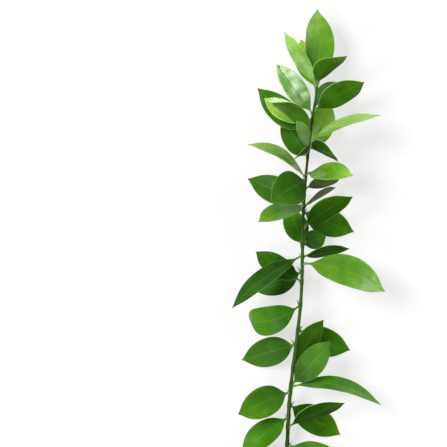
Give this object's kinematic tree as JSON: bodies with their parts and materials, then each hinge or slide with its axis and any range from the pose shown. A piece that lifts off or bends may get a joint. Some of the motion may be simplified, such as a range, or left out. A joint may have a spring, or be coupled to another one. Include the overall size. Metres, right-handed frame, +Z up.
{
  "type": "ruscus stem",
  "caption": "Cut ruscus stem laid flat: a slim green stalk with glossy pointed leaf-like blades along its upper length and a bare slanted cut end, for vases and bouquets.",
  "frame": {"origin": "on the surface that the stem lies on, under the middle of its bounding box", "axes": "+Y along the stem from the cut end to the growing tip, +X to the right, +Z up from the surface"},
  "size_m": [0.1526, 0.5938, 0.0803],
  "materials": {
    "ruscus_green": "waxy leathery leaf, satin gloss"
  },
  "bodies": {
    "root": {"leafy_stem": "ruscus_green"}
  },
  "joints": []
}
